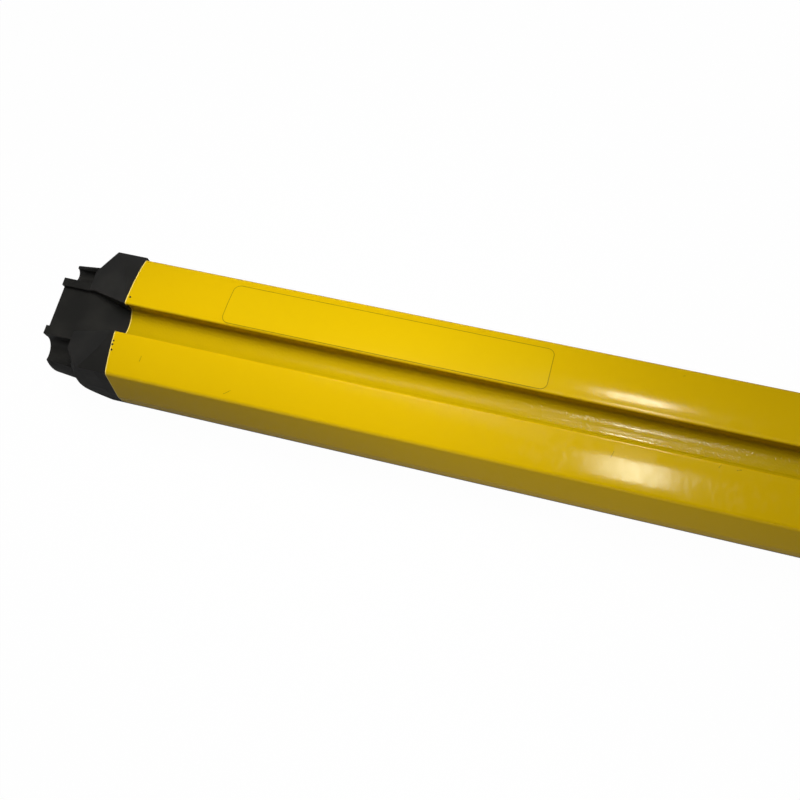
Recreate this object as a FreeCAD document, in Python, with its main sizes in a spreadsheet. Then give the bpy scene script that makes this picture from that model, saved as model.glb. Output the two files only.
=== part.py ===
import FreeCAD, Part
import math
import os
import Sketcher

# Safety light curtain bar: a painted aluminium extrusion with a slot in both sides, a front screen,
# a moulded cap at each end and the optics and boards inside. Millimetres.
# X runs along the bar, +Y is the front (beam side), +Z is up. The bar lies on one slotted side.
# Each body is drawn about the bar's middle plane and lifted by half the thickness.

os.makedirs("parts", exist_ok=True)
doc = FreeCAD.newDocument("light_curtain")
sheet = doc.addObject("Spreadsheet::Sheet", "sizes")

SIZES = dict(
    # extrusion
    housing_length=580.0, thickness=52.0, depth=55.5, front_width=42.0, back_inset=3.9, ridge_width=5.6,
    corner_round=1.2, wall=3.0, slot_middle=-0.65, slot_mouth=12.0, slot_lip=2.5, slot_chamber=13.6,
    slot_shoulder=7.6, slot_depth=10.6, middle_front=13.5, middle_back=-11.0, middle_half=13.0,
    bay_half=9.2, bay_front=24.2, bay_back=-22.0, pocket_floor=17.2, pocket_roof=20.4, port_bore=2.0,
    # front screen and its seal
    screen_width=28.0, screen_thick=2.5, seal_thick=0.8, screen_sink=0.25, aperture=18.0, end_gap=0.3,
    # end caps
    cap_rim=5.0, cap_shoulder=21.0, cap_reach=33.8, rim_inset=1.0, cap_inset=2.2, rim_proud=0.9,
    boss_middle=1.95, boss_radius=19.2, boss_round=0.3, crest_middle=1.0, crest_half=12.9,
    crest_up=17.6, lobe_radius=23.4, lobe_half=10.4, lobe_root=24.8, root_half=12.5,
    cone_start=12.4, cone_radius=34.3, ramp_fall=8.2, channel_middle=1.2, channel_width=18.6,
    channel_floor=15.3, channel_flare=18.0, near_place=-17.8, near_up=13.5, near_scallop=6.0,
    far_place=19.0, far_up=10.0, far_scallop=2.7, screw_out=18.0, screw_up=13.3, screw_seat=14.0,
    head_bore=3.8, screw_bore=2.6, spigot_reach=7.0, fit_gap=0.3, gasket_thick=0.8, gasket_band=1.3,
    cavity_radius=12.3, throat_radius=7.0, throat_start=3.0, cap_end_wall=4.0,
    # cap screws
    screw_shank=2.4, screw_head=3.5, head_tall=4.0, screw_bite=14.0, socket_across=3.0,
    socket_deep=2.2, head_edge=0.5,
    # optics: a board, a diode, a holder and a lens at each beam
    beam_pitch=500.0, holder_long=44.0, holder_front=23.4, holder_half=8.8, optic_board=1.6,
    lens_radius=8.0, lens_rim=1.5, lens_thick=3.2, lens_seat=20.0, bore_small=3.2, bore_wide=7.2,
    bore_straight=4.0, diode_radius=2.5, diode_tall=4.2, diode_lip=0.5, diode_base=0.8,
    holder_bevel=2.0,
    # boards
    board_front=0.4, board_thick=1.6, board_half=12.4, board_reach=276.0, rail_half=9.0, rail_wall=1.8,
    chip_tall=1.4, chip_pitch=50.0, chip_wide=12.0, chip_low=9.0, can_radius=2.5, can_tall=6.0,
    can_along=12.0, can_up=6.0, display_place=150.0, display_long=34.0, display_half=8.0,
    display_front=21.5, display_leg=3.0, display_head=5.0, light_radius=1.2, light_tall=1.0, light_pitch=4.0,
    light_first=12.0,
    # round plug in the right cap
    plug_reach=11.2, plug_flange=2.6, flange_radius=9.4, plug_radius=6.0, plug_bore=4.9, plug_neck=7.9,
    plug_inside=14.0, plug_socket=9.0, nut_thick=3.0, nut_across=19.0, pin_radius=0.5, pin_circle=2.8,
    pin_reach=6.5, pin_tail=2.0, seal_radius=8.4, seal_deep=0.8, header_long=3.2, header_half=4.0,
    ribbon_thick=0.4, ribbon_half=3.5, ribbon_lap=3.0, plug_edge=0.5, neck_gap=0.1,
    # type plate on the upper side
    plate_long=131.0, plate_start=41.4, plate_back=6.0, plate_front=24.2, plate_thick=0.2,
    plate_corner=3.0,
)
for row, (alias, number) in enumerate(SIZES.items(), start=1):
    sheet.set(f"A{row}", alias)
    sheet.set(f"B{row}", str(number))
    sheet.setAlias(f"B{row}", alias)
doc.recompute()


class Size:
    """A length that is a number now and a formula on the sheet for the document."""

    def __init__(self, value, text):
        self.value = value
        self.text = text

    def __add__(self, other):
        other = size(other)
        return Size(self.value + other.value, f"({self.text} + {other.text})")

    def __sub__(self, other):
        other = size(other)
        return Size(self.value - other.value, f"({self.text} - {other.text})")

    def __mul__(self, other):
        other = size(other)
        return Size(self.value * other.value, f"({self.text} * {other.text})")

    def __truediv__(self, other):
        other = size(other)
        return Size(self.value / other.value, f"({self.text} / {other.text})")

    def __neg__(self):
        return Size(-self.value, f"(0 - {self.text})")

    def root(self):
        return Size(math.sqrt(self.value), f"sqrt({self.text})")


def size(number):
    return number if isinstance(number, Size) else Size(float(number), repr(float(number)))


def cell(alias):
    return Size(SIZES[alias], f"sizes.{alias}")


def bind(thing, prop, number):
    thing.setExpression(prop, size(number).text)


# ---- the shared section ---------------------------------------------------------------------------

front = cell("depth") / 2
ridge = -front
corner_up = cell("front_width") / 2
back_corner = ridge + cell("back_inset")
ridge_up = cell("ridge_width") / 2
rise = cell("thickness") / 2 - corner_up
half_chord = (front - back_corner) / 2
crown = (front + back_corner) / 2
side_radius = (half_chord * half_chord + rise * rise) / (rise * 2)
side_centre = cell("thickness") / 2 - side_radius
housing_left = -cell("housing_length") / 2 - cell("plug_reach") / 2
housing_right = housing_left + cell("housing_length")


def side_height(y, grow=0.0):
    """Height of the crowned side above the middle plane at y."""
    reach = side_radius + grow
    return side_centre + (reach * reach - (y - crown) * (y - crown)).root()


slot_front = cell("slot_middle") + cell("slot_mouth") / 2
slot_back = cell("slot_middle") - cell("slot_mouth") / 2
lift = side_height(slot_front)
screen_back = front - cell("screen_sink") - cell("screen_thick")
shift = -cell("rim_proud") / 2  # the cap stands proud in front, so the bar sits back by half of that


# ---- sketches -------------------------------------------------------------------------------------

def sketch_on(body, name, role, offset=0.0, rise=0.0):
    """An empty sketch on one of the body's own origin planes, moved along its normal."""
    sketch = body.newObject("Sketcher::SketchObject", name)
    plane = [f for f in body.Origin.OriginFeatures if f.Role == role][0]
    sketch.AttachmentSupport = (plane, [""])
    sketch.MapMode = "FlatFace"
    bind(sketch, "AttachmentOffset.Base.z", offset)
    bind(sketch, "AttachmentOffset.Base.y", rise)
    return sketch


def pin_down(sketch, item, end, across, up):
    """Hold one point of the sketch at its place from the origin."""
    for kind, axis, number in (("DistanceX", -2, across), ("DistanceY", -1, up)):
        number = size(number)
        if number.value == 0.0:
            sketch.addConstraint(Sketcher.Constraint("PointOnObject", item, end, axis))
            continue
        index = sketch.addConstraint(Sketcher.Constraint(kind, -1, 1, item, end, number.value))
        bind(sketch, f"Constraints[{index}]", number)


def draw_loop(sketch, corners):
    """A closed outline. A corner with a third value starts an arc of that radius to the next one:
    positive bends left of the way round, negative bends right."""
    ends = []
    for number, corner in enumerate(corners):
        following = corners[(number + 1) % len(corners)]
        start = FreeCAD.Vector(size(corner[0]).value, size(corner[1]).value, 0)
        stop = FreeCAD.Vector(size(following[0]).value, size(following[1]).value, 0)
        if len(corner) == 2:
            item = sketch.addGeometry(Part.LineSegment(start, stop))
            ends.append((item, 1, 2))
            continue
        bend = size(corner[2])
        radius = abs(bend.value)
        chord = stop - start
        to_left = FreeCAD.Vector(-chord.y, chord.x, 0).normalize()
        apart = math.sqrt(radius ** 2 - (chord.Length / 2) ** 2)
        centre = (start + stop) / 2 + to_left * math.copysign(apart, bend.value)
        turn = [math.atan2(p.y - centre.y, p.x - centre.x) for p in (start, stop)]
        if bend.value < 0:
            turn.reverse()
        circle = Part.Circle(centre, FreeCAD.Vector(0, 0, 1), radius)
        item = sketch.addGeometry(Part.ArcOfCircle(circle, turn[0], turn[1]))
        index = sketch.addConstraint(Sketcher.Constraint("Radius", item, radius))
        bind(sketch, f"Constraints[{index}]", bend if bend.value > 0 else -bend)
        ends.append((item, 1, 2) if bend.value > 0 else (item, 2, 1))
    for number, corner in enumerate(corners):
        item, start, _ = ends[number]
        before, _, stop = ends[number - 1]
        sketch.addConstraint(Sketcher.Constraint("Coincident", before, stop, item, start))
        pin_down(sketch, item, start, corner[0], corner[1])


def draw_circle(sketch, across, up, radius):
    centre = FreeCAD.Vector(size(across).value, size(up).value, 0)
    circle = Part.Circle(centre, FreeCAD.Vector(0, 0, 1), size(radius).value)
    item = sketch.addGeometry(circle)
    pin_down(sketch, item, 3, across, up)
    index = sketch.addConstraint(Sketcher.Constraint("Radius", item, circle.Radius))
    bind(sketch, f"Constraints[{index}]", radius)


def box_loop(left, right, low, high):
    return [(left, low), (right, low), (right, high), (left, high)]


# ---- features -------------------------------------------------------------------------------------

def new_body(name, x=0.0, turned=False):
    """A body moved to the bar's middle plane; a turned one faces the other way along the bar."""
    body = doc.addObject("PartDesign::Body", name)
    body.Label = name
    if turned:
        body.Placement.Rotation = FreeCAD.Rotation(FreeCAD.Vector(0, 1, 0), 180)
    bind(body, "Placement.Base.x", x)
    bind(body, "Placement.Base.y", shift)
    bind(body, "Placement.Base.z", lift)
    return body


def pad(body, sketch, length):
    feature = body.newObject("PartDesign::Pad", sketch.Name + "_pad")
    feature.Profile = sketch
    bind(feature, "Length", length)
    return feature


def cut(body, sketch, length):
    """Remove the sketch's area along its normal, the way that a pad would grow."""
    feature = body.newObject("PartDesign::Pocket", sketch.Name + "_cut")
    feature.Profile = sketch
    feature.Reversed = True
    bind(feature, "Length", length)
    return feature


def turn(body, kind, sketch, axis="H_Axis"):
    """A full turn of the sketch about one of its own axes: Revolution adds, Groove removes."""
    feature = body.newObject("PartDesign::" + kind, sketch.Name + "_turn")
    feature.Profile = sketch
    feature.ReferenceAxis = (sketch, [axis])
    feature.Angle = 360
    return feature


def edges_along_x(shape, places):
    """Names of the straight edges along X that pass through the given (y, z) places."""
    names = []
    for number, edge in enumerate(shape.Edges, start=1):
        first, last = edge.Vertexes[0].Point, edge.Vertexes[-1].Point
        level = abs(first.y - last.y) < 1e-4 and abs(first.z - last.z) < 1e-4
        if level and any(math.hypot(first.y - y, first.z - z) < 0.05 for y, z in places):
            names.append(f"Edge{number}")
    return names


def edges_at_x(shape, x):
    """Names of the edges that lie in the plane at x."""
    return [f"Edge{number}" for number, edge in enumerate(shape.Edges, start=1)
            if all(abs(corner.Point.x - x) < 1e-4 for corner in edge.Vertexes)]


def round_edges(body, base, names, radius):
    feature = body.newObject("PartDesign::Fillet", base.Name + "_round")
    feature.Base = (base, names)
    bind(feature, "Radius", radius)
    return feature


# ---- outlines of the section ----------------------------------------------------------------------

def mirrored(half):
    """Close an upper half outline with its mirror image, arcs included."""
    lower = []
    for number in range(len(half) - 1, -1, -1):
        bend = half[number - 1][2:] if number else ()
        lower.append((half[number][0], -half[number][1]) + tuple(bend))
    return half + lower


def cap_outline(ridge_y):
    """The bar's outline with its ridge drawn in and its front drawn a little out."""
    proud = front + cell("rim_proud")
    return mirrored([(proud, side_height(proud), side_radius), (back_corner, corner_up),
                     (ridge_y, ridge_up)])


def slotted_outline():
    room_front = cell("slot_middle") + cell("slot_chamber") / 2
    room_back = cell("slot_middle") - cell("slot_chamber") / 2
    shoulder = cell("thickness") / 2 - cell("slot_shoulder")
    hollow = cell("slot_depth") - cell("slot_shoulder")
    half_room = cell("slot_chamber") / 2
    floor_radius = (half_room * half_room + hollow * hollow) / (hollow * 2)
    lip_front = side_height(slot_front)
    lip_back = side_height(slot_back)
    return mirrored([
        (front, corner_up, side_radius),
        (slot_front, lip_front),
        (slot_front, lip_front - cell("slot_lip")),
        (room_front, lip_front - cell("slot_lip")),
        (room_front, shoulder, -floor_radius),
        (room_back, shoulder),
        (room_back, lip_back - cell("slot_lip")),
        (slot_back, lip_back - cell("slot_lip")),
        (slot_back, lip_back, side_radius),
        (back_corner, corner_up),
        (ridge, ridge_up),
    ])


def cross_outline(grow):
    """The inner bay: a tall middle between two lower bays, grown or shrunk all round."""
    grow = size(grow)
    return mirrored([
        (cell("bay_front") + grow, cell("bay_half") + grow),
        (cell("middle_front") + grow, cell("bay_half") + grow),
        (cell("middle_front") + grow, cell("middle_half") + grow),
        (cell("middle_back") - grow, cell("middle_half") + grow),
        (cell("middle_back") - grow, cell("bay_half") + grow),
        (cell("bay_back") - grow, cell("bay_half") + grow),
    ])


def screw_places():
    """(y, z) of the four cap screws."""
    for out in (1, -1):
        for up in (1, -1):
            yield cell("crest_middle") + cell("screw_out") * out, cell("screw_up") * up


# ---- housing --------------------------------------------------------------------------------------

def build_housing():
    body = new_body("housing", housing_left)
    section = sketch_on(body, "housing_section", "YZ_Plane")
    draw_loop(section, slotted_outline())
    bar = pad(body, section, cell("housing_length"))

    bay = sketch_on(body, "inner_bay", "YZ_Plane")
    draw_loop(bay, cross_outline(0))
    cut(body, bay, cell("housing_length"))

    pockets = sketch_on(body, "side_pockets", "YZ_Plane")
    slot_wall = cell("slot_chamber") / 2 + cell("wall")
    for side in (1, -1):
        floor, roof = cell("pocket_floor") * side, cell("pocket_roof") * side
        draw_loop(pockets, box_loop(cell("slot_middle") + slot_wall, front - cell("wall"), floor, roof))
        draw_loop(pockets, box_loop(back_corner + cell("wall"), cell("slot_middle") - slot_wall,
                                    floor, roof))
    cut(body, pockets, cell("housing_length"))

    aperture = sketch_on(body, "aperture", "YZ_Plane")
    draw_loop(aperture, box_loop(cell("bay_front") - 1, front + 1, -cell("aperture") / 2,
                                 cell("aperture") / 2))
    cut(body, aperture, cell("housing_length"))

    ledge = sketch_on(body, "screen_ledge", "YZ_Plane")
    half = cell("screen_width") / 2 + cell("fit_gap")
    draw_loop(ledge, box_loop(screen_back - cell("seal_thick"), front + 1, -half, half))
    cut(body, ledge, cell("housing_length"))

    ports = sketch_on(body, "screw_ports", "YZ_Plane")
    for y, z in screw_places():
        draw_circle(ports, y, z, cell("port_bore"))
    last = cut(body, ports, cell("housing_length"))
    doc.recompute()
    corners = [(y.value, z.value * side) for side in (1, -1)
               for y, z in ((front, corner_up), (back_corner, corner_up), (ridge, ridge_up))]
    round_edges(body, last, edges_along_x(last.Shape, corners), cell("corner_round"))
    return body


# ---- front screen and its seal --------------------------------------------------------------------

def build_screen():
    body = new_body("front_screen", housing_left + cell("end_gap"))
    section = sketch_on(body, "screen_section", "YZ_Plane")
    half = cell("screen_width") / 2
    draw_loop(section, box_loop(screen_back, screen_back + cell("screen_thick"), -half, half))
    pad(body, section, cell("housing_length") - cell("end_gap") * 2)
    return body


def build_screen_seal():
    """A flat frame between the screen and the ledge, open over the aperture."""
    body = new_body("screen_seal", housing_left + cell("end_gap"))
    section = sketch_on(body, "seal_section", "YZ_Plane")
    half = cell("screen_width") / 2
    length = cell("housing_length") - cell("end_gap") * 2
    draw_loop(section, box_loop(screen_back - cell("seal_thick"), screen_back, -half, half))
    pad(body, section, length)
    window = sketch_on(body, "seal_window", "YZ_Plane", cell("cap_rim"))
    half_open = cell("aperture") / 2
    draw_loop(window, box_loop(screen_back - cell("seal_thick") - 1, screen_back + 1,
                               -half_open, half_open))
    cut(body, window, length - cell("cap_rim") * 2)
    return body


# ---- end caps -------------------------------------------------------------------------------------

def build_cap(name, place, turned, plug_hole):
    """A cap seen from the left end of the bar: x = 0 on the bar's cut end, outwards along -X."""
    body = new_body(name, place, turned)
    shoulder, reach = cell("cap_shoulder"), cell("cap_reach")
    past = 2.0

    rim = sketch_on(body, name + "_rim", "YZ_Plane", -cell("cap_rim"))
    draw_loop(rim, cap_outline(ridge + cell("rim_inset")))
    pad(body, rim, cell("cap_rim"))
    block = sketch_on(body, name + "_block", "YZ_Plane", -shoulder)
    draw_loop(block, cap_outline(ridge + cell("cap_inset")))
    pad(body, block, shoulder - cell("cap_rim"))

    # through each crowned side a flat ramp falls towards the end of the cap
    far, near = front + past, back_corner - past
    roof, level = cell("thickness") / 2 + past, cell("thickness") / 2 - cell("ramp_fall")
    for side, label in ((1, "upper"), (-1, "lower")):
        ends = []
        for height, place in ((cell("thickness") / 2, 0.0), (level, -shoulder)):
            end = sketch_on(body, f"{name}_{label}_ramp_{len(ends) + 1}", "YZ_Plane", place)
            draw_loop(end, [(far, height * side), (near, height * side), (near, roof * side),
                            (far, roof * side)])
            ends.append(end)
        ramp = body.newObject("PartDesign::SubtractiveLoft", f"{name}_{label}_ramp")
        ramp.Profile = ends[0]
        ramp.Sections = ends[1:]
        ramp.Ruled = True

    # the corners fall on a cone about the boss
    cone = sketch_on(body, name + "_cone", "XY_Plane", 0, cell("boss_middle"))
    wide = cell("cone_radius") + past * 2
    draw_loop(cone, [(-cell("cone_start"), cell("cone_radius")), (-cell("cone_start"), wide),
                     (-shoulder - past, wide), (-shoulder - past, cell("lobe_root")),
                     (-shoulder, cell("lobe_root"))])
    turn(body, "Groove", cone)

    middle, tall = cell("boss_middle"), reach - shoulder + 1
    boss = sketch_on(body, name + "_boss", "YZ_Plane", -reach)
    draw_circle(boss, middle, 0, cell("boss_radius"))
    pad(body, boss, tall)
    crest = sketch_on(body, name + "_crest", "YZ_Plane", -reach)
    draw_loop(crest, box_loop(cell("crest_middle") - cell("crest_half"),
                              cell("crest_middle") + cell("crest_half"),
                              -cell("crest_up"), cell("crest_up")))
    pad(body, crest, tall)
    # the lobes in front and behind grow wider towards the shoulder
    rings = []
    for place, radius, half in ((-reach, cell("lobe_radius"), cell("lobe_half")),
                                (-reach + tall, cell("lobe_root"), cell("root_half"))):
        ring = sketch_on(body, f"{name}_lobes_{len(rings) + 1}", "YZ_Plane", place)
        out = (radius * radius - half * half).root()
        draw_loop(ring, [(middle + out, -half, radius), (middle + out, half),
                         (middle - out, half, radius), (middle - out, -half)])
        rings.append(ring)
    lobes = body.newObject("PartDesign::AdditiveLoft", name + "_lobes")
    lobes.Profile = rings[0]
    lobes.Sections = rings[1:]
    lobes.Ruled = True

    spigot = sketch_on(body, name + "_spigot", "YZ_Plane", 0)
    draw_loop(spigot, cross_outline(-cell("fit_gap")))
    pad(body, spigot, cell("spigot_reach"))

    # the slot runs on through the cap and widens over the ramp
    channel = sketch_on(body, name + "_channel", "XY_Plane", cell("channel_floor"))
    wide_front = cell("channel_middle") + cell("channel_width") / 2
    wide_back = cell("channel_middle") - cell("channel_width") / 2
    draw_loop(channel, [(0, slot_back), (0, slot_front), (-cell("channel_flare"), wide_front),
                        (-reach - past, wide_front), (-reach - past, wide_back),
                        (-cell("channel_flare"), wide_back)])
    groove = cut(body, channel, cell("thickness") / 2)
    both = body.newObject("PartDesign::Mirrored", name + "_channels")
    both.Originals = [groove]
    both.MirrorPlane = ([f for f in body.Origin.OriginFeatures if f.Role == "XY_Plane"][0], [""])
    body.Tip = both

    # scallops between the crest and the lobes, with the screws sunk behind the shoulder
    for label in ("near", "far"):
        scallop = sketch_on(body, f"{name}_{label}_scallops", "YZ_Plane", -reach - past)
        for side in (1, -1):
            draw_circle(scallop, cell(label + "_place"), cell(label + "_up") * side,
                        cell(label + "_scallop"))
        cut(body, scallop, reach + past - shoulder)
    heads = sketch_on(body, name + "_heads", "YZ_Plane", -reach - past)
    bores = sketch_on(body, name + "_bores", "YZ_Plane", -reach - past)
    for y, z in screw_places():
        draw_circle(heads, y, z, cell("head_bore"))
        draw_circle(bores, y, z, cell("screw_bore"))
    cut(body, heads, reach + past - cell("screw_seat"))
    drilled = cut(body, bores, reach + past * 2)
    doc.recompute()
    round_edges(body, drilled, edges_at_x(drilled.Shape, -reach.value), cell("boss_round"))

    # gasket seat round the spigot
    seat = sketch_on(body, name + "_seat", "YZ_Plane", -cell("gasket_thick"))
    draw_loop(seat, cross_outline(cell("gasket_band")))
    draw_loop(seat, cross_outline(-cell("fit_gap")))
    cut(body, seat, cell("gasket_thick"))

    cavity = sketch_on(body, name + "_cavity", "YZ_Plane", -reach + cell("cap_end_wall"))
    draw_circle(cavity, cell("boss_middle"), 0, cell("cavity_radius"))
    cut(body, cavity, reach - cell("cap_end_wall") - cell("throat_start"))
    throat = sketch_on(body, name + "_throat", "YZ_Plane", -cell("throat_start") - 1)
    draw_circle(throat, cell("boss_middle"), 0, cell("throat_radius"))
    cut(body, throat, cell("throat_start") + cell("spigot_reach") + past)
    if plug_hole:
        hole = sketch_on(body, name + "_hole", "YZ_Plane", -reach - past)
        draw_circle(hole, cell("boss_middle"), 0, cell("plug_neck"))
        cut(body, hole, cell("cap_end_wall") + past * 2)
        ring = sketch_on(body, name + "_ring", "YZ_Plane", -reach - past)
        draw_circle(ring, cell("boss_middle"), 0, cell("seal_radius"))
        cut(body, ring, cell("seal_deep") + past)
    return body


def build_gasket(name, place, turned):
    body = new_body(name, place, turned)
    ring = sketch_on(body, name + "_ring", "YZ_Plane", -cell("gasket_thick"))
    draw_loop(ring, cross_outline(cell("gasket_band")))
    draw_loop(ring, cross_outline(-cell("fit_gap")))
    pad(body, ring, cell("gasket_thick"))
    return body


# ---- cap screws -----------------------------------------------------------------------------------

def build_screw():
    """One cap screw about X, its head outwards at the seat and its point inside the bar."""
    body = doc.addObject("PartDesign::Body", "cap_screw")
    profile = sketch_on(body, "screw_profile", "XY_Plane")
    seat, neck = -cell("screw_seat"), -cell("gasket_thick")
    outer = seat - cell("head_tall")
    draw_loop(profile, [
        (outer, 0), (cell("screw_bite"), 0), (cell("screw_bite") - cell("port_bore"), cell("port_bore")),
        (neck, cell("port_bore")), (neck, cell("screw_shank")), (seat, cell("screw_shank")),
        (seat, cell("screw_head")), (outer + cell("head_edge"), cell("screw_head")),
        (outer, cell("screw_head") - cell("head_edge"))])
    turn(body, "Revolution", profile)
    socket = sketch_on(body, "screw_socket", "YZ_Plane", outer)
    draw_loop(socket, hexagon(cell("socket_across")))
    cut(body, socket, cell("socket_deep"))
    return body


def hexagon(across, y=0.0, z=0.0):
    corner = across / 3 * size(3).root()
    half = corner / 2
    side = across / 2
    around = [(corner, 0), (half, side), (-half, side), (-corner, 0), (-half, -side), (half, -side)]
    return [(size(a) + y, size(b) + z) for a, b in around]


def group(name, shapes):
    """Like pieces that share one node, each a solid of its own."""
    node = doc.addObject("Part::Feature", name)
    node.Label = name
    node.Shape = Part.makeCompound(shapes)
    return node


def screw_group(name, screw, place, turned):
    shapes = []
    for y, z in screw_places():
        shape = screw.Shape.copy()
        if turned:
            shape.rotate(FreeCAD.Vector(0, 0, 0), FreeCAD.Vector(0, 1, 0), 180)
        shape.translate(FreeCAD.Vector(place.value, (y + shift).value, (z + lift).value))
        shapes.append(shape)
    return group(name, shapes)


# ---- optics ---------------------------------------------------------------------------------------

def build_optics(number, place):
    """Board, diode, holder and lens of one beam, stacked along +Y from the control board."""
    top_of_board = cell("board_front") + cell("optic_board")
    long = cell("holder_long")

    board = new_body(f"optic_board_{number}", place)
    plan = sketch_on(board, f"optic_board_{number}_plan", "YZ_Plane", -long / 2)
    draw_loop(plan, box_loop(cell("board_front"), top_of_board,
                             -cell("holder_half"), cell("holder_half")))
    pad(board, plan, long)

    diode = new_body(f"beam_diode_{number}", place)
    can = sketch_on(diode, f"beam_diode_{number}_profile", "XY_Plane")
    radius, tall = cell("diode_radius"), cell("diode_tall")
    flange, step = radius + cell("diode_lip"), top_of_board + cell("diode_base")
    draw_loop(can, [(0, top_of_board), (flange, top_of_board), (flange, step), (radius, step),
                    (radius, top_of_board + tall - radius, radius), (0, top_of_board + tall)])
    turn(diode, "Revolution", can, "V_Axis")

    holder = new_body(f"beam_holder_{number}", place)
    block = sketch_on(holder, f"beam_holder_{number}_block", "YZ_Plane", -long / 2)
    bevel = cell("holder_bevel")
    draw_loop(block, mirrored([(cell("holder_front"), cell("holder_half") - bevel),
                               (cell("holder_front") - bevel, cell("holder_half")),
                               (top_of_board, cell("holder_half"))]))
    pad(holder, block, long)
    bore = sketch_on(holder, f"beam_holder_{number}_bore", "XY_Plane")
    seat = cell("lens_seat")
    draw_loop(bore, [(0, top_of_board - 1), (cell("bore_small"), top_of_board - 1),
                     (cell("bore_small"), top_of_board + cell("bore_straight")), (cell("bore_wide"), seat),
                     (cell("lens_radius"), seat), (cell("lens_radius"), cell("holder_front") + 1),
                     (0, cell("holder_front") + 1)])
    turn(holder, "Groove", bore, "V_Axis")

    lens = new_body(f"beam_lens_{number}", place)
    glass = sketch_on(lens, f"beam_lens_{number}_profile", "XY_Plane")
    dome = cell("lens_thick") - cell("lens_rim")
    curve = (cell("lens_radius") * cell("lens_radius") + dome * dome) / (dome * 2)
    draw_loop(glass, [(0, seat), (cell("lens_radius"), seat),
                      (cell("lens_radius"), seat + cell("lens_rim"), curve), (0, seat + cell("lens_thick"))])
    turn(lens, "Revolution", glass, "V_Axis")
    return [board, diode, holder, lens]


# ---- boards inside the bar ------------------------------------------------------------------------

def build_rail():
    """A U-shaped plastic rail on the back wall of the bay that carries the control board."""
    body = new_body("board_rail", bar_middle)
    section = sketch_on(body, "rail_section", "YZ_Plane", -cell("board_reach"))
    back, rim = cell("bay_back"), cell("board_front") - cell("board_thick")
    half, inner = cell("rail_half"), cell("rail_half") - cell("rail_wall")
    floor = back + cell("rail_wall")
    draw_loop(section, [(rim, inner), (rim, half), (back, half), (back, -half),
                        (rim, -half), (rim, -inner),
                        (floor, -inner), (floor, inner)])
    pad(body, section, cell("board_reach") * 2)
    return body


def build_control_board():
    body = new_body("control_board", bar_middle)
    section = sketch_on(body, "board_section", "YZ_Plane", -cell("board_reach"))
    draw_loop(section, box_loop(cell("board_front") - cell("board_thick"), cell("board_front"),
                                -cell("board_half"), cell("board_half")))
    pad(body, section, cell("board_reach") * 2)
    return body


def build_chips():
    """Six integrated circuits in a row, two sizes in turn, each with a capacitor beside it."""
    y = (cell("board_front") + shift).value
    shapes = []
    for step in range(-3, 3):
        x = (bar_middle + cell("chip_pitch") * step).value
        half = (cell("chip_wide") / (2 if step % 2 else 3)).value
        corner = FreeCAD.Vector(x - half, y, (lift - cell("chip_low")).value)
        shapes.append(Part.makeBox(half * 2, cell("chip_tall").value, cell("chip_wide").value, corner))
        foot = FreeCAD.Vector(x + cell("can_along").value, y, (lift + cell("can_up")).value)
        shapes.append(Part.makeCylinder(cell("can_radius").value, cell("can_tall").value, foot,
                                        FreeCAD.Vector(0, 1, 0)))
    return group("board_chips", shapes)


def build_display():
    """The status display on two legs, close behind the front screen."""
    body = new_body("status_display", display_middle)
    long, leg = cell("display_long"), cell("display_leg")
    side = sketch_on(body, "display_side", "XY_Plane", -cell("display_half"))
    head = cell("display_front") - cell("display_head")
    draw_loop(side, [
        (-long / 2, cell("board_front")), (-long / 2 + leg, cell("board_front")), (-long / 2 + leg, head),
        (long / 2 - leg, head), (long / 2 - leg, cell("board_front")), (long / 2, cell("board_front")),
        (long / 2, cell("display_front")), (-long / 2, cell("display_front"))])
    pad(body, side, cell("display_half") * 2)
    return body


def build_lights():
    """A row of four status lamps on the display."""
    shapes = []
    for step in range(4):
        x = display_middle - cell("light_first") + cell("light_pitch") * step
        base = FreeCAD.Vector(x.value, (cell("display_front") + shift).value, lift.value)
        shapes.append(Part.makeCylinder(cell("light_radius").value, cell("light_tall").value, base,
                                        FreeCAD.Vector(0, 1, 0)))
    return group("status_lights", shapes)


# ---- round plug in the right cap ------------------------------------------------------------------

def plug_body(name, loop):
    """A turned piece of the plug about the boss's axis, outwards along -X until it is turned."""
    body = new_body(name, housing_right, True)
    profile = sketch_on(body, name + "_profile", "XY_Plane", 0, cell("boss_middle"))
    draw_loop(profile, loop)
    turn(body, "Revolution", profile)
    return body


def build_plug():
    face = -cell("cap_reach")
    tip = face - cell("plug_reach")
    flange = face - cell("plug_flange")
    inner = face + cell("plug_inside")
    neck = cell("plug_neck") - cell("neck_gap")
    socket, edge = tip + cell("plug_socket"), cell("plug_edge")
    shell = plug_body("plug_shell", [
        (tip, cell("plug_bore")), (inner, cell("plug_bore")), (inner, neck), (face, neck),
        (face, cell("flange_radius")), (flange + edge, cell("flange_radius")),
        (flange, cell("flange_radius") - edge), (flange, cell("plug_radius")),
        (tip + edge, cell("plug_radius")), (tip, cell("plug_radius") - edge)])
    insert = plug_body("plug_insert", [
        (socket, 0), (inner, 0), (inner, cell("plug_bore")), (socket, cell("plug_bore"))])
    holes = sketch_on(insert, "plug_insert_holes", "YZ_Plane", socket - 1)
    for y, z in pin_places():
        draw_circle(holes, y, z, cell("pin_radius"))
    cut(insert, holes, inner - socket + 2)
    wall_inside = face + cell("cap_end_wall")
    nut = new_body("plug_nut", housing_right, True)
    flats = sketch_on(nut, "plug_nut_flats", "YZ_Plane", wall_inside)
    draw_loop(flats, hexagon(cell("nut_across"), cell("boss_middle")))
    draw_circle(flats, cell("boss_middle"), 0, neck)
    pad(nut, flats, cell("nut_thick"))
    seal_in, seal_out = cell("plug_neck"), cell("seal_radius")
    ring = plug_body("plug_seal", [
        (face, seal_in), (face + cell("seal_deep"), seal_in), (face + cell("seal_deep"), seal_out),
        (face, seal_out)])
    return [shell, insert, nut, ring]


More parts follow.
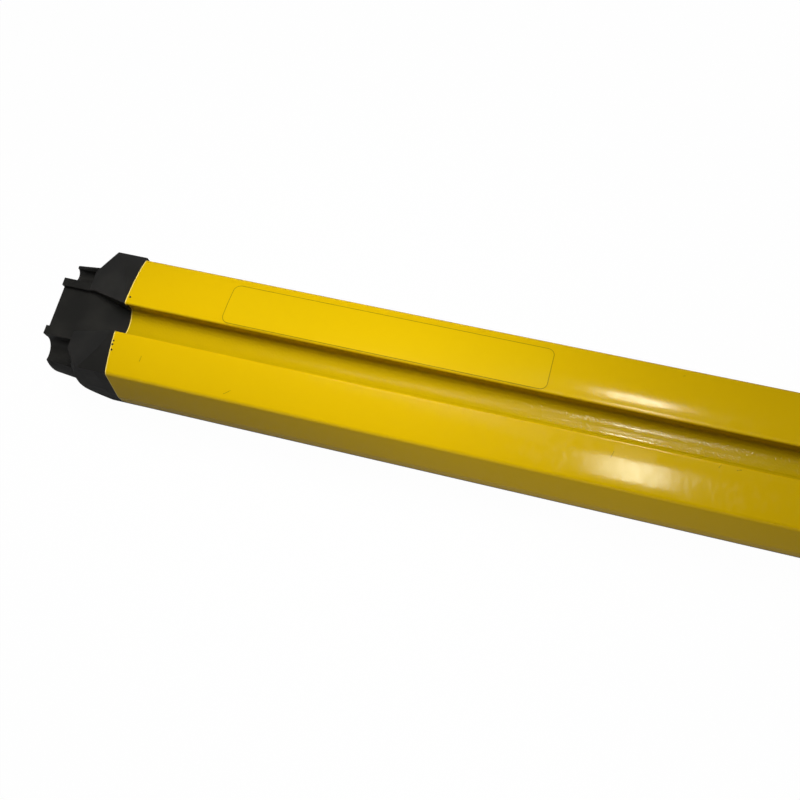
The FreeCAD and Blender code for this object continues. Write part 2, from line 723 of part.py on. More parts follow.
def pin_places():
    """(y, z) of a middle pin and four round it."""
    middle = cell("boss_middle")
    aside = cell("pin_circle") / size(2).root()
    return [(middle, size(0))] + [(middle + aside * y, aside * z) for y in (1, -1) for z in (1, -1)]


def build_plug_pins():
    outer = cell("cap_reach") + cell("plug_reach") - cell("plug_socket") + cell("pin_reach")
    inner = cell("cap_reach") - cell("plug_inside") - cell("pin_tail")
    shapes = []
    for y, z in pin_places():
        base = FreeCAD.Vector((housing_right + inner).value, (y + shift).value, (lift + z).value)
        shapes.append(Part.makeCylinder(cell("pin_radius").value, (outer - inner).value, base,
                                        FreeCAD.Vector(1, 0, 0)))
    return group("plug_pins", shapes)


def build_plug_leads():
    """A header on the pin tails and the flat ribbon from it to the control board."""
    inner = housing_right + cell("cap_reach") - cell("plug_inside") - cell("pin_tail")
    header = new_body("pin_header", inner - cell("header_long"))
    block = sketch_on(header, "header_block", "YZ_Plane")
    middle, half = cell("boss_middle"), cell("header_half")
    draw_loop(block, box_loop(middle - half, middle + half, -half, half))
    pad(header, block, cell("header_long"))

    start = bar_middle + cell("board_reach") - cell("ribbon_lap")
    ribbon = new_body("plug_ribbon", start)
    strip = sketch_on(ribbon, "ribbon_strip", "YZ_Plane")
    front_face = cell("board_front")
    draw_loop(strip, box_loop(front_face, front_face + cell("ribbon_thick"), -cell("ribbon_half"),
                              cell("ribbon_half")))
    pad(ribbon, strip, inner - cell("header_long") - start)
    return [header, ribbon]


# ---- type plate -----------------------------------------------------------------------------------

def build_plate():
    """A bare plate stuck on the upper side between the slot and the front corner."""
    body = new_body("type_plate", housing_left + cell("plate_start"))
    near, far, long = cell("plate_back"), cell("plate_front"), cell("plate_long")
    corner, thick, past = cell("plate_corner"), cell("plate_thick"), 1.0
    plan = sketch_on(body, "plate_plan", "XY_Plane", corner_up)
    draw_loop(plan, [
        (corner, near), (long - corner, near, corner), (long, near + corner), (long, far - corner, corner),
        (long - corner, far), (corner, far, corner), (0, far - corner), (0, near + corner, corner)])
    pad(body, plan, rise * 2)
    shave = sketch_on(body, "plate_shave", "YZ_Plane", -past)
    low, high = corner_up - past, corner_up + rise * 3
    left, right = near - past, far + past
    draw_loop(shave, [(left, low), (right, low), (right, side_height(right), side_radius),
                      (left, side_height(left))])
    outer = side_radius + thick
    draw_loop(shave, [(right, high), (left, high), (left, side_height(left, thick), -outer),
                      (right, side_height(right, thick))])
    cut(body, shave, long + past * 2)
    return body


# ---- the whole bar --------------------------------------------------------------------------------

bar_middle = housing_left + cell("housing_length") / 2
display_middle = bar_middle + cell("display_place")
nodes = [build_housing(), build_screen(), build_screen_seal(), build_plate()]
nodes += [build_cap("end_cap_left", housing_left, False, False)]
nodes += [build_cap("end_cap_right", housing_right, True, True)]
nodes += [build_gasket("cap_gasket_left", housing_left, False)]
nodes += [build_gasket("cap_gasket_right", housing_right, True)]
nodes += build_optics(1, bar_middle - cell("beam_pitch") / 2)
nodes += build_optics(2, bar_middle + cell("beam_pitch") / 2)
nodes += [build_rail(), build_control_board(), build_chips(), build_display(), build_lights()]
nodes += build_plug() + [build_plug_pins()] + build_plug_leads()
screw = build_screw()
doc.recompute()
nodes += [screw_group("cap_screws_left", screw, housing_left, False)]
nodes += [screw_group("cap_screws_right", screw, housing_right, True)]
doc.recompute()

for thing in doc.Objects:
    if "Invalid" in thing.State or "Error" in thing.State:
        raise RuntimeError(f"{thing.Name} failed: {thing.State}")
for node in nodes:
    if node.Shape.isNull() or not node.Shape.isValid():
        raise RuntimeError(f"{node.Label} has no valid shape")
for node in nodes:
    box = node.Shape.optimalBoundingBox()
    print(f"{node.Label}: {len(node.Shape.Solids)} solids, {node.Shape.Volume:.0f} mm3, "
          f"x {box.XMin:.2f}..{box.XMax:.2f} y {box.YMin:.2f}..{box.YMax:.2f} z {box.ZMin:.2f}..{box.ZMax:.2f}")
    node.Shape.exportStep(f"parts/{node.Label}.step")
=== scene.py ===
import bpy, bmesh, math
from mathutils import Matrix, Vector


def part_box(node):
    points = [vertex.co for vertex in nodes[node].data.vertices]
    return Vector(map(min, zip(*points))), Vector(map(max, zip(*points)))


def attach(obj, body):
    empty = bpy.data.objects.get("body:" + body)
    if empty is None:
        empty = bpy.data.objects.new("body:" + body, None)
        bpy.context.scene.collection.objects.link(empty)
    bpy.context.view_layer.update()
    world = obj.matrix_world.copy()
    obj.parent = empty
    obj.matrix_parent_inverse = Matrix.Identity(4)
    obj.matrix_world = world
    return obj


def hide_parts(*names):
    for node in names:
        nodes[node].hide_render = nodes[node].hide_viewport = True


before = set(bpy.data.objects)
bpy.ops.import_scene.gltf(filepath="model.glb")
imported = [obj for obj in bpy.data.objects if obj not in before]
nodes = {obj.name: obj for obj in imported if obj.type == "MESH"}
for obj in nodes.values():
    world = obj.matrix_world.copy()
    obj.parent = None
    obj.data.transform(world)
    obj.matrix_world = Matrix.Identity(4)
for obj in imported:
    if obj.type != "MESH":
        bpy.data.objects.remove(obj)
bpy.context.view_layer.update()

mm = 0.001
scene = bpy.context.scene
barLow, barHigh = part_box("housing")
leftEnd, rightEnd = barLow.x, barHigh.x  # the extrusion's two cut ends
middleY = (barLow.y + barHigh.y) / 2
middleUp = (barLow.z + barHigh.z) / 2  # the plane half way between the two slots
print("frame loaded,", len(nodes), "nodes")


cameraSet = {
    "fromEnd": Vector((0.18558, -0.11695, 0.40903)),  # from the left cut end, at floor level
    "look": Vector((-0.17397, 0.28311, -0.94318)),
    "up": Vector((-0.21032, 0.92500, 0.31645)),
    "lens": 45.0,
    "sensor": 36.0,
    "nearest": 0.01,
}


def placeCamera(shot):
    data = bpy.data.cameras.new("camera")
    data.lens = shot["lens"]
    data.sensor_width = shot["sensor"]
    data.clip_start = shot["nearest"]
    camera = bpy.data.objects.new("camera", data)
    scene.collection.objects.link(camera)
    back = -shot["look"].normalized()
    side = shot["up"].cross(back).normalized()
    turn = Matrix((side, back.cross(side), back)).transposed()
    place = Vector((leftEnd, middleY, 0)) + shot["fromEnd"]
    camera.matrix_world = Matrix.Translation(place) @ turn.to_4x4()
    scene.camera = camera


placeCamera(cameraSet)
print("camera placed")


class Sock:
    # one output socket; maths on it adds Math nodes
    def __init__(self, graph, out):
        self.graph, self.out = graph, out

    def join(self, operation, *parts):
        return self.graph.add("ShaderNodeMath", {"operation": operation}, dict(enumerate(parts)))

    def __add__(self, other):
        return self.join("ADD", self, other)

    def __radd__(self, other):
        return self.join("ADD", other, self)

    def __sub__(self, other):
        return self.join("SUBTRACT", self, other)

    def __rsub__(self, other):
        return self.join("SUBTRACT", other, self)

    def __mul__(self, other):
        return self.join("MULTIPLY", self, other)

    def __rmul__(self, other):
        return self.join("MULTIPLY", other, self)

    def __truediv__(self, other):
        return self.join("DIVIDE", self, other)

    def __rtruediv__(self, other):
        return self.join("DIVIDE", other, self)

    def __lt__(self, other):
        return self.join("LESS_THAN", self, other)

    def __gt__(self, other):
        return self.join("GREATER_THAN", self, other)

    def __abs__(self):
        return self.join("ABSOLUTE", self)

    def root(self):
        return self.join("SQRT", self)

    def atLeast(self, other):
        return self.join("MAXIMUM", self, other)

    def atMost(self, other):
        return self.join("MINIMUM", self, other)


class Graph:
    # adds nodes to one tree
    def __init__(self, tree):
        self.tree = tree

    def feed(self, socket, value):
        if isinstance(value, Sock):
            self.tree.links.new(value.out, socket)
        else:
            socket.default_value = value

    def add(self, kind, settings=None, sockets=None, output=0):
        node = self.tree.nodes.new(kind)
        for key, value in (settings or {}).items():
            if key == "stops":  # a ramp's two ends, each a place and a grey level
                for stop, (place, level) in zip(node.color_ramp.elements, value):
                    stop.position = place
                    stop.color = (level, level, level, 1.0)
            else:
                setattr(node, key, value)
        for key, value in (sockets or {}).items():
            self.feed(node.inputs[key], value)
        return Sock(self, node.outputs[output])

    def place(self):
        return self.add("ShaderNodeTexCoord", output="Object")

    def axes(self):
        split = self.add("ShaderNodeSeparateXYZ", sockets={0: self.place()})
        return [Sock(self, out) for out in split.out.node.outputs]

    def noise(self, scale, detail=2.0, stretch=None):
        where = self.place()
        if stretch:
            where = self.add("ShaderNodeMapping", sockets={"Vector": where, "Scale": stretch})
        return self.add("ShaderNodeTexNoise", sockets={"Vector": where, "Scale": scale, "Detail": detail})

    def mixed(self, mask, first, second):
        return self.add("ShaderNodeMix", {"data_type": "RGBA"}, {0: mask, 6: first, 7: second}, output=2)

    def ramp(self, value, start, stop):
        return self.add("ShaderNodeValToRGB", {"stops": ((start, 0.0), (stop, 1.0))}, {0: value})

    def bump(self, height, depth, before=None):
        sockets = {"Height": height, "Distance": depth}
        if before:
            sockets["Normal"] = before
        return self.add("ShaderNodeBump", sockets=sockets)

    def rays(self, *names):
        path = self.add("ShaderNodeLightPath").out.node.outputs
        return [Sock(self, path[name]) for name in names]


class Finish(Graph):
    # one material; fixed values go straight on the shader's own sockets
    def __init__(self, name, colour, roughness, **fixed):
        self.material = bpy.data.materials.new(name)
        self.material.use_nodes = True
        self.material.diffuse_color = (*colour, 1.0)
        super().__init__(self.material.node_tree)
        self.shader = self.tree.nodes["Principled BSDF"]
        self.set("Base Color", (*colour, 1.0))
        self.set("Roughness", roughness)
        for key, value in fixed.items():
            self.set(key.replace("_", " "), value)

    def set(self, name, value):
        self.feed(self.shader.inputs[name], value)

    def clouded(self, mask, colour, mottle):
        return self.mixed(mask, tone(colour, 1 - mottle), tone(colour, 1 + mottle))


def tone(colour, gain):
    return (*[part * gain for part in colour], 1.0)


paintSet = {  # places are millimetres along from the left cut end and across from the bar's middle
    "colour": (0.70, 0.448, 0.001),
    "mottle": 0.04,
    "cloudScale": 9.0,
    "roughness": 0.10,
    "specular": 0.22,
    "coatRoughness": 0.04,
    "peelScale": 900.0,
    "peelDepth": 0.010 * mm,
    "smear": {"scale": 420.0, "detail": 6.0, "stretch": (1.4, 0.7, 1.0), "from": 0.46, "to": 0.60,
              "rougher": 0.06},
    "slot": {"middle": -0.65 * mm, "half": 7.0 * mm, "below": 1.3 * mm, "rougher": 0.01,
             # the slot's colour is a darker paint: painted shade in the recess
             "colour": (0.54, 0.365, 0.001, 1.0), "speckleScale": 1200.0, "speckleDepth": 0.10 * mm},
    "ridge": {"across": (5.2, -3.7), "half": 0.8 * mm, "high": 0.17 * mm},
    "glint": {"bands": ((1.9, 0.13, 0.55), (-0.7, 1.2, 0.16), (-2.1, 0.13, 0.7)),  # across, half, strength
              "scale": 1800.0, "from": 0.44, "to": 0.54, "ragged": 0.15},
    "ragged": {"scale": 2500.0, "reach": 0.8 * mm},  # makes the edges of the wear uneven
    "chip": {"places": ((1.4, 8.5), (0.7, -10.7), (0.6, -12.2), (0.8, -14.3)),  # along, across
             "size": 0.38 * mm, "trim": 0.3 * mm, "colour": (0.02, 0.017, 0.012, 1.0)},
    "scratch": {"places": ((13.4, -15.4, 80, 1.2), (51.7, -20.4, 35, 1.6), (200.6, -12.2, 75, 1.3),
                           (245.4, -7.9, 20, 0.9), (220.8, 24.5, 30, 0.5),
                           (238.5, -8.1, 60, 0.8)),  # along, across, turn, half its length
                "half": 0.12 * mm, "ragged": 0.6, "depth": 0.55, "colour": (0.10, 0.06, 0.004, 1.0)},
    # the cut edge's paler band is a painted highlight along the left end's edge
    "cutEdgeHighlight": {"wide": 0.3 * mm, "ragged": 0.2, "colour": (0.88, 0.68, 0.16, 1.0)},
    "residue": {"along": (201.0, 216.5), "across": (-12.5, -8.2), "rougher": 0.12},  # left by a sticker
}


def chipMask(look, along, across, ragged):
    bare = 0.0
    for chipAlong, chipAcross in look["places"]:
        dx, dy = along - chipAlong * mm, across - chipAcross * mm
        bare = (dx * dx + dy * dy < (ragged + look["size"] - look["trim"]) * look["size"]).atLeast(bare)
    return bare


def scratchMask(look, along, across, ragged):
    scored = 0.0
    for scratchAlong, scratchAcross, degrees, half in look["places"]:
        dx, dy = along - scratchAlong * mm, across - scratchAcross * mm
        cos, sin = math.cos(math.radians(degrees)), math.sin(math.radians(degrees))
        onLine = abs(dy * cos - dx * sin + ragged * look["ragged"]) < look["half"]
        scored = (onLine * (abs(dx * cos + dy * sin) < half * mm)).atLeast(scored)
    return scored


def residueMask(look, along, across):
    (alongFrom, alongTo), (acrossFrom, acrossTo) = look["along"], look["across"]
    inLength = (along > alongFrom * mm) * (along < alongTo * mm)
    return inLength * (across > acrossFrom * mm) * (across < acrossTo * mm)


def ridgeHeight(look, across):
    ridge = 0.0
    for place in look["across"]:
        away = (across - place * mm) / look["half"]
        ridge = (1.0 - away * away).atLeast(ridge)
    return ridge


def glintStrength(look, across, ragged):
    glint = 0.0
    for place, half, strength in look["bands"]:
        near = abs(across - place * mm) < ragged * look["ragged"] + half * mm
        glint = (near * strength).atLeast(glint)
    return glint


def yellowPaint(look):
    slot, smear, scratch, glint = look["slot"], look["smear"], look["scratch"], look["glint"]
    paint = Finish("yellowPaint", look["colour"], look["roughness"], Specular_IOR_Level=look["specular"],
                   Coat_Roughness=look["coatRoughness"])
    x, y, z = paint.axes()
    along, across = x - leftEnd, y - middleY
    upper = z > middleUp
    sunk = abs(z - middleUp) < (barHigh.z - barLow.z) / 2 - slot["below"]
    inSlot = sunk * (abs(across - slot["middle"]) < slot["half"])
    ragged = paint.noise(look["ragged"]["scale"]) * look["ragged"]["reach"]

    shade = paint.clouded(paint.noise(look["cloudScale"], 3.0), look["colour"], look["mottle"])
    # painted shade: the paint inside the slot is darker, standing in for the shade in the recess
    shade = paint.mixed(inSlot, shade, slot["colour"])
    # painted highlight: a paler, ragged yellow band along the left cut end's edge
    edge = along < ragged * look["cutEdgeHighlight"]["ragged"] + look["cutEdgeHighlight"]["wide"]
    shade = paint.mixed(edge, shade, look["cutEdgeHighlight"]["colour"])
    scored = scratchMask(scratch, along, across, ragged) * upper * scratch["depth"]
    shade = paint.mixed(scored, shade, scratch["colour"])
    bare = chipMask(look["chip"], along, across, ragged) * upper
    paint.set("Base Color", paint.mixed(bare, shade, look["chip"]["colour"]))

    streaks = paint.noise(smear["scale"], smear["detail"], smear["stretch"])
    smeared = paint.ramp(streaks, smear["from"], smear["to"])
    gluey = residueMask(look["residue"], along, across) * upper
    paint.set("Roughness", smeared * smear["rougher"] + inSlot * slot["rougher"]
              + gluey * look["residue"]["rougher"] + look["roughness"])
    grit = paint.ramp(paint.noise(glint["scale"], 1.0), glint["from"], glint["to"])
    paint.set("Coat Weight", inSlot * glintStrength(glint, across, ragged) * grit)

    relief = paint.bump(inSlot * paint.noise(slot["speckleScale"], 1.0), slot["speckleDepth"])
    relief = paint.bump(inSlot * ridgeHeight(look["ridge"], across), look["ridge"]["high"], relief)
    paint.set("Normal", paint.bump(paint.noise(look["peelScale"]), look["peelDepth"], relief))
    return paint.material


def blackMoulding():
    look = {"colour": (0.0125, 0.0122, 0.0115), "roughness": 0.50, "specular": 0.36, "wearScale": 200.0,
            "spread": 0.16, "grainScale": 1500.0, "grainDepth": 0.012 * mm, "dustScale": 70.0,
            "dustFrom": 0.45, "dustTo": 0.8, "dust": 0.35, "dustColour": (0.045, 0.042, 0.036, 1.0)}
    plastic = Finish("blackMoulding", look["colour"], look["roughness"], Specular_IOR_Level=look["specular"])
    dusty = plastic.ramp(plastic.noise(look["dustScale"], 4.0), look["dustFrom"], look["dustTo"])
    plain = (*look["colour"], 1.0)
    plastic.set("Base Color", plastic.mixed(dusty * look["dust"], plain, look["dustColour"]))
    wear = plastic.noise(look["wearScale"]) * look["spread"]
    plastic.set("Roughness", wear + (look["roughness"] - look["spread"] / 2))
    plastic.set("Normal", plastic.bump(plastic.noise(look["grainScale"]), look["grainDepth"]))
    return plastic.material


def plateFilm():
    look = {"colour": (0.70, 0.458, 0.001), "mottle": 0.03, "cloudScale": 14.0, "specular": 0.22,
            "roughness": 0.14, "spread": 0.06, "rim": (0.33, 0.22, 0.003, 1.0), "line": 0.3 * mm,
            "corner": 3.0 * mm, "waveScale": 25.0, "waveStretch": (0.4, 1.0, 1.0), "waveDepth": 0.05 * mm,
            "wearScale": 30.0}
    film = Finish("plateFilm", look["colour"], look["roughness"], Specular_IOR_Level=look["specular"])
    low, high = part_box("type_plate")
    middle, half = (low + high) / 2, (high - low) / 2
    x, y = film.axes()[:2]
    overX = (abs(x - middle.x) - (half.x - look["corner"])).atLeast(0.0)
    overY = (abs(y - middle.y) - (half.y - look["corner"])).atLeast(0.0)
    inwards = look["corner"] - (overX * overX + overY * overY).root()  # from the rounded rectangle's edge
    body = film.clouded(film.noise(look["cloudScale"], 3.0), look["colour"], look["mottle"])
    film.set("Base Color", film.mixed(inwards < look["line"], body, look["rim"]))
    film.set("Roughness", film.noise(look["wearScale"]) * look["spread"] + look["roughness"])
    waves = film.noise(look["waveScale"], stretch=look["waveStretch"])
    film.set("Normal", film.bump(waves, look["waveDepth"]))
    return film.material


def moulded(name, colour, roughness, grain=1200.0, depth=0.01, mottle=0.12, **fixed):
    look = {"cloudScale": 90.0, "wearScale": 150.0, "spread": 0.1}
    made = Finish(name, colour, roughness, **fixed)
    made.set("Base Color", made.clouded(made.noise(look["cloudScale"], 3.0), colour, mottle))
    wear = made.noise(look["wearScale"]) * look["spread"]
    made.set("Roughness", wear + (roughness - look["spread"] / 2))
    made.set("Normal", made.bump(made.noise(grain), depth * mm))
    return made.material


def plated(name, colour, roughness):
    look = {"scale": 700.0, "dark": 0.88, "bright": 1.06, "spread": 0.16, "smoother": 0.06,
            "depth": 0.004 * mm}
    made = Finish(name, colour, roughness, Metallic=1.0)
    cloud = made.noise(look["scale"], 3.0)
    made.set("Base Color", made.mixed(cloud, tone(colour, look["dark"]), tone(colour, look["bright"])))
    made.set("Roughness", cloud * look["spread"] + (roughness - look["smoother"]))
    made.set("Normal", made.bump(cloud, look["depth"]))
    return made.material


def dressNodes():
    finishes = {
        "black": blackMoulding(),
        "film": plateFilm(),
        "rubber": moulded("sealRubber", (0.02, 0.02, 0.021), 0.7),
        "chip": moulded("chipMoulding", (0.022, 0.022, 0.024), 0.45),
        "rail": moulded("railMoulding", (0.24, 0.25, 0.27), 0.5),
        "board": moulded("boardLacquer", (0.012, 0.13, 0.05), 0.28, grain=300.0, mottle=0.25),
        "display": moulded("displayGlass", (0.012, 0.013, 0.015), 0.12, depth=0.002),
        "lamp": moulded("lampLens", (0.5, 0.08, 0.03), 0.15, depth=0.002),
        "ribbon": moulded("ribbonJacket", (0.34, 0.35, 0.37), 0.4),
        "steel": plated("blackZinc", (0.06, 0.06, 0.065), 0.4),
        "nickel": plated("nickelPlate", (0.62, 0.6, 0.56), 0.26),
        "gold": plated("goldPlate", (0.9, 0.62, 0.24), 0.22),
        "lens": moulded("clearLens", (0.9, 0.92, 0.95), 0.06, depth=0.001, mottle=0.02,
                        Transmission_Weight=1.0, IOR=1.49),
    }
    wearing = {
        "black": ("end_cap_left", "end_cap_right"),
        "film": ("type_plate",),
        "rubber": ("screen_seal", "cap_gasket_left", "cap_gasket_right", "plug_seal"),
        "steel": ("cap_screws_left", "cap_screws_right"),
        "board": ("optic_board_1", "optic_board_2", "control_board"),
        "lens": ("beam_diode_1", "beam_diode_2", "beam_lens_1", "beam_lens_2"),
        "chip": ("beam_holder_1", "beam_holder_2", "board_chips", "plug_insert", "pin_header"),
        "rail": ("board_rail",),
        "display": ("status_display",),
        "lamp": ("status_lights",),
        "nickel": ("plug_shell", "plug_nut"),
        "gold": ("plug_pins",),
        "ribbon": ("plug_ribbon",),
    }
    for finish, names in wearing.items():
        for name in names:
            nodes[name].data.materials.clear()
            nodes[name].data.materials.append(finishes[finish])


dressNodes()
print("finishes made")


sharpFrom = 35.0  # degrees between two faces
weldWithin = 0.001 * mm


def finishPiece(bm, name, material, node):
    mesh = bpy.data.meshes.new(name)
    bm.to_mesh(mesh)
    bm.free()
    mesh.materials.append(material)
    mesh.shade_smooth()
    mesh.set_sharp_from_angle(angle=math.radians(sharpFrom))
    piece = bpy.data.objects.new(name, mesh)
    scene.collection.objects.link(piece)
    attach(piece, "root")
    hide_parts(node)


def lineTo(bm, vert, y, z):
    made = bmesh.ops.extrude_vert_indiv(bm, verts=[vert])["verts"][0]
    made.co = (vert.co.x, y, z)
    return made


def arcTo(bm, vert, centre, start, stop, steps):
    first = math.atan2(start[1] - centre[1], start[0] - centre[0])
    last = math.atan2(stop[1] - centre[1], stop[0] - centre[0])
    made = bmesh.ops.spin(bm, geom=[vert], cent=(vert.co.x, *centre), axis=(1, 0, 0),
                          angle=last - first, steps=steps)["geom_last"]
    return [part for part in made if isinstance(part, bmesh.types.BMVert)][0]


def roundCorners(bm, verts, radius, steps):
    bmesh.ops.bevel(bm, geom=verts, offset=radius, offset_type="OFFSET", segments=steps, profile=0.5,
                    affect="VERTICES", material=-1)


housingSet = {  # millimetres; places are taken from the section's middle
    "thick": 52.0, "frontWidth": 42.0, "backInset": 3.9, "ridgeWidth": 5.6, "cornerRound": 1.2,
    "slotMiddle": -0.65, "mouth": 12.0, "lip": 2.5, "chamber": 13.6, "shoulder": 7.6, "floor": 10.6,
    "lipRound": 0.7, "ledge": 14.3, "ledgeFront": 24.2, "bayHalf": 9.2, "middleHalf": 13.0,
    "middleFront": 13.5, "middleBack": -11.0, "bayBack": -22.0,
}
housingSteps = {"crown": 14, "floor": 14, "corner": 5, "lip": 3}


def drawUpperHalf(bm, size):
    # the section's upper half, drawn about its own middle, from the back round to the bay's back
    half, corner = size["thick"] / 2, size["frontWidth"] / 2
    frontFace = (barHigh.y - barLow.y) / 2
    backFace = -frontFace
    backCorner = backFace + size["backInset"]
    rise, chord = half - corner, (frontFace - backCorner) / 2
    bend = (chord ** 2 + rise ** 2) / (2 * rise)
    crown = ((frontFace + backCorner) / 2, half - bend)

    def onCrown(y):
        return (y, crown[1] + math.sqrt(bend ** 2 - (y - crown[0]) ** 2))

    backMouth, frontMouth = [onCrown(size["slotMiddle"] + side * size["mouth"] / 2) for side in (-1, 1)]
    backRoom, frontRoom = [size["slotMiddle"] + side * size["chamber"] / 2 for side in (-1, 1)]
    shoulder = half - size["shoulder"]
    sink = size["floor"] - size["shoulder"]
    floorBend = ((size["chamber"] / 2) ** 2 + sink ** 2) / (2 * sink)
    floorCentre = (size["slotMiddle"], shoulder - sink + floorBend)

    corners, lips = [], []
    pen = bmesh.ops.create_vert(bm, co=(leftEnd, backFace, 0))["vert"][0]
    pen = lineTo(bm, pen, backFace, size["ridgeWidth"] / 2)
    corners.append(pen)
    pen = lineTo(bm, pen, backCorner, corner)
    corners.append(pen)
    pen = arcTo(bm, pen, crown, (backCorner, corner), backMouth, housingSteps["crown"])
    lips.append(pen)
    pen = lineTo(bm, pen, backMouth[0], backMouth[1] - size["lip"])
    lips.append(pen)
    pen = lineTo(bm, pen, backRoom, backMouth[1] - size["lip"])
    pen = lineTo(bm, pen, backRoom, shoulder)
    pen = arcTo(bm, pen, floorCentre, (backRoom, shoulder), (frontRoom, shoulder), housingSteps["floor"])
    pen = lineTo(bm, pen, frontRoom, frontMouth[1] - size["lip"])
    pen = lineTo(bm, pen, frontMouth[0], frontMouth[1] - size["lip"])
    lips.append(pen)
    pen = lineTo(bm, pen, *frontMouth)
    lips.append(pen)
    pen = arcTo(bm, pen, crown, frontMouth, (frontFace, corner), housingSteps["crown"])
    corners.append(pen)
    pen = lineTo(bm, pen, frontFace, size["ledge"])
    lips.append(pen)
    for y, z in ((size["ledgeFront"], size["ledge"]), (size["ledgeFront"], size["bayHalf"]),
                 (size["middleFront"], size["bayHalf"]), (size["middleFront"], size["middleHalf"]),
                 (size["middleBack"], size["middleHalf"]), (size["middleBack"], size["bayHalf"]),
                 (size["bayBack"], size["bayHalf"]), (size["bayBack"], 0)):
        pen = lineTo(bm, pen, y, z)
    return corners, lips


def makeHousing():
    size = {key: value * mm for key, value in housingSet.items()}
    bm = bmesh.new()
    corners, lips = drawUpperHalf(bm, size)
    roundCorners(bm, corners, size["cornerRound"], housingSteps["corner"])
    roundCorners(bm, lips, size["lipRound"], housingSteps["lip"])
    bmesh.ops.mirror(bm, geom=bm.verts[:] + bm.edges[:], matrix=Matrix(), merge_dist=weldWithin, axis="Z")
    bmesh.ops.remove_doubles(bm, verts=bm.verts[:], dist=weldWithin)
    ring = bm.edges[:]
    walls = bmesh.ops.extrude_edge_only(bm, edges=ring)["geom"]
    moved = {part for part in walls if isinstance(part, bmesh.types.BMVert)}
    bmesh.ops.translate(bm, vec=(rightEnd - leftEnd, 0, 0), verts=list(moved))
    edgesMade = [part for part in walls if isinstance(part, bmesh.types.BMEdge)]
    farRing = [edge for edge in edgesMade if moved.issuperset(edge.verts)]
    for edges, facing in ((ring, -1), (farRing, 1)):
        bmesh.ops.triangle_fill(bm, edges=edges, use_beauty=True, normal=(facing, 0, 0))
    bmesh.ops.translate(bm, vec=(0, middleY, middleUp), verts=bm.verts[:])
    bmesh.ops.recalc_face_normals(bm, faces=bm.faces[:])
    finishPiece(bm, "painted_housing", yellowPaint(paintSet), "housing")


makeHousing()
print("housing made")


screenSet = {"edgeRound": 0.4 * mm, "roundSteps": 3, "colour": (0.012, 0.002, 0.003), "roughness": 0.08,
             "grain": 40.0, "mottle": 0.1, "coat": 0.3, "coatRoughness": 0.04}


def makeScreen(look):
    low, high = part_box("front_screen")
    bm = bmesh.new()
    bmesh.ops.create_cube(bm, size=1.0)
    bmesh.ops.scale(bm, vec=high - low, verts=bm.verts[:])
    bmesh.ops.translate(bm, vec=(low + high) / 2, verts=bm.verts[:])
    bmesh.ops.bevel(bm, geom=bm.edges[:], offset=look["edgeRound"], offset_type="OFFSET",
                    segments=look["roundSteps"], profile=0.5, affect="EDGES", material=-1)
    glass = moulded("darkScreen", look["colour"], look["roughness"], look["grain"], mottle=look["mottle"],
                    Coat_Weight=look["coat"], Coat_Roughness=look["coatRoughness"])
    finishPiece(bm, "dark_screen", glass, "front_screen")


makeScreen(screenSet)
print("screen made")


def makeFloor():
    ground = {"half": 4.0, "drop": 0.05 * mm, "paper": (0.85, 0.85, 0.84), "bounce": (0.15, 0.15, 0.15, 1.0),
              "roughness": 0.9, "specular": 0.1, "white": (1.0, 1.0, 1.0, 1.0), "seenWhite": 0.985,
              "mirroredWhite": 0.06}
    bm = bmesh.new()
    bmesh.ops.create_grid(bm, x_segments=1, y_segments=1, size=ground["half"])
    bmesh.ops.translate(bm, vec=(0, 0, -ground["drop"]), verts=bm.verts[:])
    mesh = bpy.data.meshes.new("floor")
    bm.to_mesh(mesh)
    bm.free()
    floor = bpy.data.objects.new("floor", mesh)
    scene.collection.objects.link(floor)
    paper = Finish("floorPaper", ground["paper"], ground["roughness"], Specular_IOR_Level=ground["specular"])
    seen, mirrored, through, bounced = paper.rays("Is Camera Ray", "Is Glossy Ray", "Is Transmission Ray",
                                                  "Is Diffuse Ray")
    dimmed = (bounced + mirrored).atMost(1.0)
    paper.set("Base Color", paper.mixed(dimmed, (*ground["paper"], 1.0), ground["bounce"]))
    share = seen * ground["seenWhite"] + (mirrored + through).atMost(1.0) * ground["mirroredWhite"]
    white = paper.add("ShaderNodeEmission", sockets={"Color": ground["white"], "Strength": 1.0})
    both = paper.add("ShaderNodeMixShader", sockets={
        0: share.atMost(1.0), 1: Sock(paper, paper.shader.outputs[0]), 2: white})
    paper.feed(paper.tree.nodes["Material Output"].inputs["Surface"], both)
    mesh.materials.append(paper.material)


def makeWorld():
    sky = {"white": (1.0, 1.0, 1.0, 1.0), "ceiling": (0.03, 0.03, 0.03, 1.0),
           "ambient": (0.14, 0.14, 0.14, 1.0), "wallTop": 0.04, "ceilingFrom": 0.3}
    world = bpy.data.worlds.new("studio")
    world.use_nodes = True
    scene.world = world
    room = Graph(world.node_tree)
    seen, mirrored, through = room.rays("Is Camera Ray", "Is Glossy Ray", "Is Transmission Ray")
    where = room.add("ShaderNodeTexCoord", output="Generated")
    height = room.add("ShaderNodeSeparateXYZ", sockets={0: where}, output=2)
    dome = room.mixed(room.ramp(height, sky["wallTop"], sky["ceilingFrom"]), sky["white"], sky["ceiling"])
    unseen = room.mixed((mirrored + through).atMost(1.0), sky["ambient"], dome)
    room.feed(room.tree.nodes["Background"].inputs["Color"], room.mixed(seen, unseen, sky["white"]))


def spot(degrees, blend, soft):
    return {"spot_size": math.radians(degrees), "spot_blend": blend, "shadow_soft_size": soft}


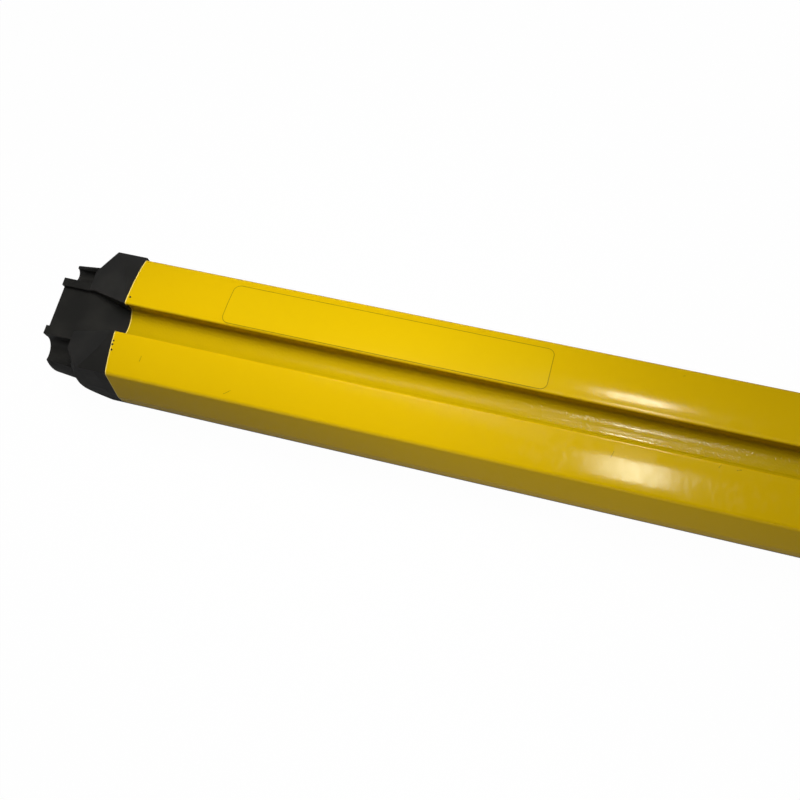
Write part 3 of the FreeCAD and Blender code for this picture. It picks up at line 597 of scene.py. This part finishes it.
def tube(length):
    return {"shape": "RECTANGLE", "color": (1.0, 0.98, 0.8), "size": 0.08, "size_y": length}


lampSet = {  # the lamps that light the bar don't show in it, and the tubes only show in it
    "key": {"kind": "AREA", "place": (-0.08, 0.16, 0.90), "aim": (-0.08, 0.0, 0.03), "power": 3.8,
            "shape": {"size": 0.4}, "mirrored": False},
    "leftSpot": {"kind": "SPOT", "place": (-0.23, 0.06, 0.42), "aim": (-0.23, 0.0, 0.05), "power": 3.6,
                 "shape": spot(50, 0.7, 0.09), "mirrored": False},
    "slotSpot": {"kind": "SPOT", "place": (-0.16, -0.04, 0.45), "aim": (-0.16, 0.0, 0.05), "power": 0.6,
                 "shape": spot(19, 1.0, 0.04), "mirrored": False},
    "lowFill": {"kind": "AREA", "place": (-0.09, -0.24, 0.03), "aim": (-0.12, 0.0, 0.03), "power": 0.125,
                "shape": {"size": 0.06}, "mirrored": False},
    "tubeNear": {"kind": "AREA", "place": (-0.023, -0.29, 1.0), "aim": (-0.023, -0.29, 0.0), "power": 2.1,
                 "shape": tube(0.26), "scattered": False},
    "tubeMiddle": {"kind": "AREA", "place": (-0.03, 0.30, 1.0), "aim": (-0.03, 0.30, 0.0), "power": 1.0,
                   "shape": tube(0.12), "scattered": False},
    "tubeFar": {"kind": "AREA", "place": (-0.03, 0.63, 1.0), "aim": (-0.03, 0.63, 0.0), "power": 1.4,
                "shape": tube(0.10), "scattered": False},
}


def addLamp(name, kind, place, aim, power, shape, mirrored=True, scattered=True):
    data = bpy.data.lights.new(name, kind)
    data.energy = power
    for key, value in shape.items():
        setattr(data, key, value)
    lamp = bpy.data.objects.new(name, data)
    scene.collection.objects.link(lamp)
    lamp.location = place
    lamp.rotation_mode = "QUATERNION"
    lamp.rotation_quaternion = (Vector(aim) - Vector(place)).to_track_quat("-Z", "Y")
    lamp.visible_glossy = mirrored
    lamp.visible_diffuse = scattered


makeFloor()
makeWorld()
for name, lamp in lampSet.items():
    addLamp(name, **lamp)
print("stage set")

scene.view_settings.view_transform = "Standard"
